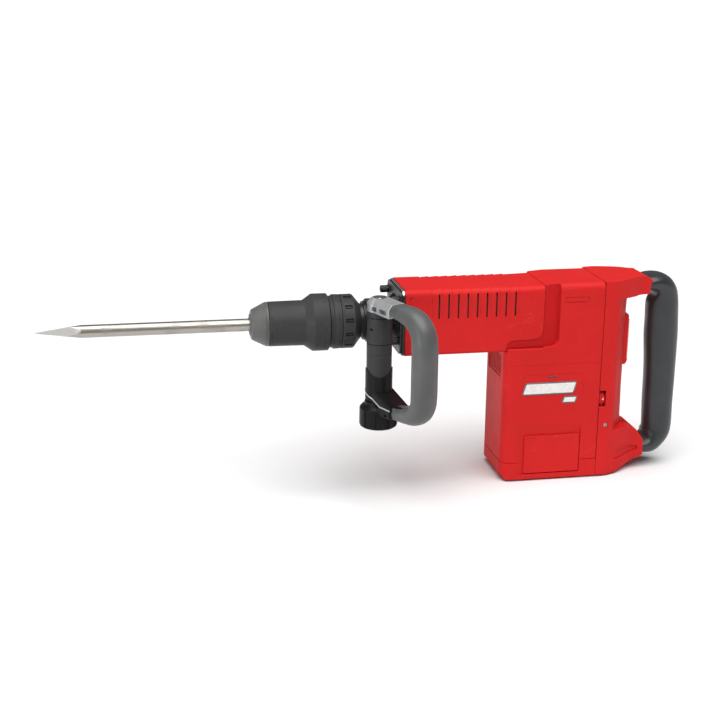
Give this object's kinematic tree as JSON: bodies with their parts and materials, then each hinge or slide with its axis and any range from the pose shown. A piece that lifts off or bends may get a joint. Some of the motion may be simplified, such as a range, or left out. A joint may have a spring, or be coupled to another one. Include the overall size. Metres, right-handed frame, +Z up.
{
  "type": "demolition hammer",
  "caption": "Electric demolition hammer: point chisel in a sleeve-locked holder, ribbed barrel over a crank hammer drive, upright motor block, swivelling side handle and D-shaped rear handle.",
  "frame": {"origin": "centre of the round foot's flat underside, on the motor axis", "axes": "+X along the tool axis towards the rear handle, the chisel points to -X, +Z up from the foot along the motor axis, +Y to the tool's left side; the side handle stands out to -Y"},
  "size_m": [0.9005, 0.2094, 0.287],
  "materials": {
    "chisel_steel": "bright ground steel",
    "steel": "machined steel",
    "dark_steel": "blackened steel",
    "cast": "as-cast light metal",
    "red_plastic": "fine satin grain",
    "dark_plastic": "fine satin grain",
    "rubber": "soft matte",
    "bracket_grey": "satin",
    "copper": "enamelled copper",
    "brass": "pressed brass",
    "carbon": "carbon",
    "badge": "printed foil",
    "lens": "dark lens",
    "board": "lacquered board"
  },
  "bodies": {
    "body": {"neck_flange": "cast", "flange_screw_1": "dark_steel", "flange_screw_2": "dark_steel", "flange_screw_3": "dark_steel", "flange_screw_4": "dark_steel", "gearbox_housing": "cast", "barrel_cover": "red_plastic", "cylinder": "steel", "damping_ring": "rubber", "motor_housing": "red_plastic", "bottom_cap": "red_plastic", "end_shield": "cast", "stator_core": "dark_steel", "field_coil_upper": "copper", "field_coil_lower": "copper", "motor_bearing_upper": "dark_steel", "motor_bearing_lower": "dark_steel", "crank_bearing": "dark_steel", "brush_holder_left": "brass", "brush_holder_right": "brass", "carbon_brush_left": "carbon", "carbon_brush_right": "carbon", "brush_cover_left": "red_plastic", "brush_cover_right": "red_plastic", "badge_plate": "badge", "indicator_lens_1": "lens", "indicator_lens_2": "lens", "handle_shell_left": "red_plastic", "handle_shell_right": "red_plastic", "rear_grip": "rubber", "switch_body": "dark_plastic", "control_board": "board", "cord_gland": "rubber"},
    "holder": {"tool_holder": "steel", "dust_cap": "rubber", "retaining_collar": "dark_plastic", "lock_bar_left": "dark_steel", "lock_bar_right": "dark_steel"},
    "sleeve": {"lock_sleeve": "dark_plastic"},
    "ring": {"angle_ring": "dark_plastic"},
    "chisel": {"chisel": "chisel_steel"},
    "bolt": {"impact_bolt": "steel"},
    "ram": {"ram": "steel"},
    "piston": {"piston": "cast", "wrist_pin": "steel"},
    "rod": {"connecting_rod": "cast"},
    "crank": {"crank_shaft": "steel", "crank_gear": "steel"},
    "armature": {"armature_shaft": "steel", "armature_core": "dark_steel", "commutator": "copper", "fan": "dark_plastic"},
    "paddle": {"switch_paddle": "red_plastic"},
    "dial": {"speed_dial": "red_plastic"},
    "aux_clamp": {"clamp_band": "dark_plastic"},
    "aux_handle": {"aux_bracket_upper": "bracket_grey", "aux_bracket_lower": "dark_plastic", "aux_grip": "dark_plastic", "aux_stud": "dark_steel"},
    "aux_knob": {"aux_knob": "dark_plastic"}
  },
  "joints": [
    {"name": "holder_turn", "type": "hinge", "parent": "body", "child": "holder", "pos_m": [-0.297, 0, 0.232], "axis": [1, 0, 0], "continuous": true},
    {"name": "lock_sleeve_slide", "type": "slide", "parent": "holder", "child": "sleeve", "axis": [1, 0, 0], "range_m": [0, 0.012], "stiffness_N_per_m": 600, "springref_m": -0.01},
    {"name": "angle_ring_slide", "type": "slide", "parent": "holder", "child": "ring", "axis": [1, 0, 0], "range_m": [0, 0.004], "stiffness_N_per_m": 800, "springref_m": -0.008},
    {"name": "chisel_play", "type": "slide", "parent": "holder", "child": "chisel", "axis": [-1, 0, 0], "range_m": [0, 0.014]},
    {"name": "impact_bolt_slide", "type": "slide", "parent": "body", "child": "bolt", "axis": [-1, 0, 0], "range_m": [0, 0.014]},
    {"name": "ram_slide", "type": "slide", "parent": "body", "child": "ram", "axis": [-1, 0, 0], "range_m": [0, 0.015]},
    {"name": "piston_slide", "type": "slide", "parent": "body", "child": "piston", "axis": [1, 0, 0], "range_m": [-0.0181, 0.0139]},
    {"name": "rod_swing", "type": "hinge", "parent": "piston", "child": "rod", "pos_m": [-0.0974, 0, 0.232], "axis": [0, 0, 1], "range_deg": [0, 29.9]},
    {"name": "armature_spin", "type": "hinge", "parent": "body", "child": "armature", "pos_m": [0, 0, 0.132], "axis": [0, 0, 1], "continuous": true},
    {"name": "crank_spin", "type": "hinge", "parent": "body", "child": "crank", "pos_m": [-0.0375, 0, 0.2155], "axis": [0, 0, 1], "continuous": true},
    {"name": "switch_press", "type": "hinge", "parent": "body", "child": "paddle", "pos_m": [0.1306, 0, 0.226], "axis": [0, 1, 0], "range_deg": [0, 5], "stiffness_Nm_per_rad": 1, "springref_deg": -8.59},
    {"name": "dial_turn", "type": "hinge", "parent": "body", "child": "dial", "pos_m": [0.0932, -0.036, 0.116], "axis": [1, 0, 0], "range_deg": [0, 300]},
    {"name": "aux_swing", "type": "hinge", "parent": "body", "child": "aux_clamp", "pos_m": [-0.2285, 0, 0.232], "axis": [1, 0, 0], "continuous": true},
    {"name": "aux_pivot", "type": "hinge", "parent": "aux_clamp", "child": "aux_handle", "pos_m": [-0.2285, -0.05, 0.232], "axis": [0, 0, 1], "range_deg": [-80, 20]},
    {"name": "knob_turn", "type": "hinge", "parent": "aux_handle", "child": "aux_knob", "pos_m": [-0.2285, -0.05, 0.131], "axis": [0, 0, 1], "range_deg": [0, 720]}
  ],
  "couplings": [
    {"joint": "crank_spin", "follows": "armature_spin", "ratio": -0.15385},
    {"joint": "impact_bolt_slide", "follows": "chisel_play", "ratio": 1}
  ]
}
